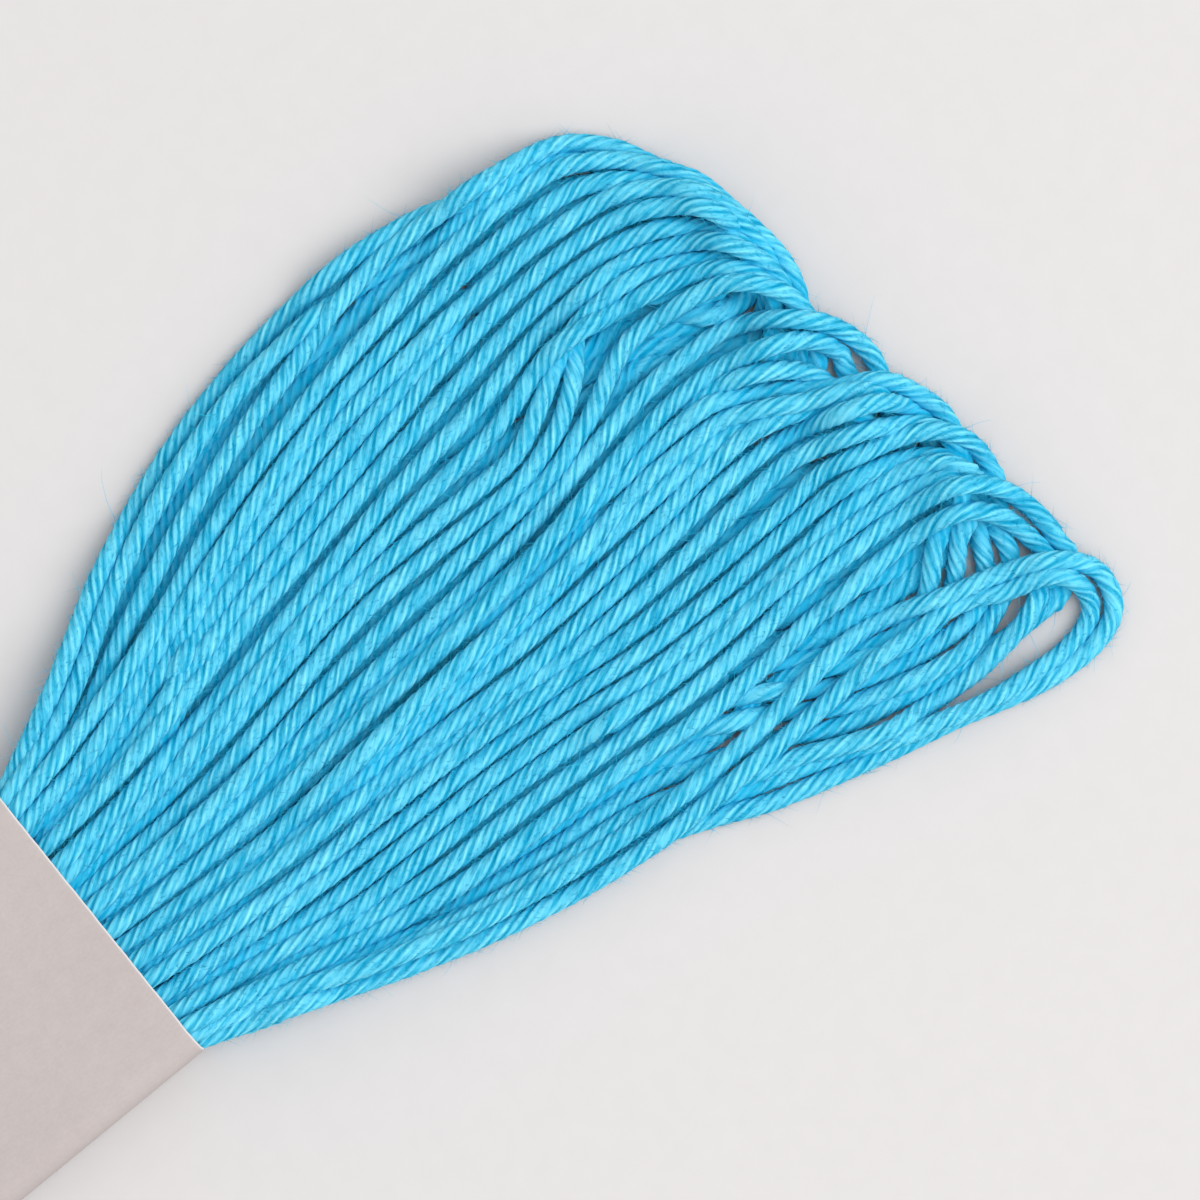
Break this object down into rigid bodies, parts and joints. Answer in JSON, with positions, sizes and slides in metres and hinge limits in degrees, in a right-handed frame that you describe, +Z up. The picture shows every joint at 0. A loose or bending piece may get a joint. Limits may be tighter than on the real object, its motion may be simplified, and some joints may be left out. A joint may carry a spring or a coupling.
{
  "type": "skein of sashiko thread",
  "caption": "Flat skein of thick turquoise cotton thread, wound in turns, pinched at the waist by a plain paper band and fanned out at both ends",
  "frame": {"origin": "middle of the footprint, on the surface the skein lies on", "axes": "+X along the skein through the band, +Z up from the surface, +Y across"},
  "size_m": [0.118, 0.0338, 0.0044],
  "materials": {
    "thread": "soft matte twisted cotton, turquoise",
    "paper": "uncoated grey-beige paper"
  },
  "bodies": {
    "root": {"skein": "thread", "band": "paper"}
  },
  "joints": []
}
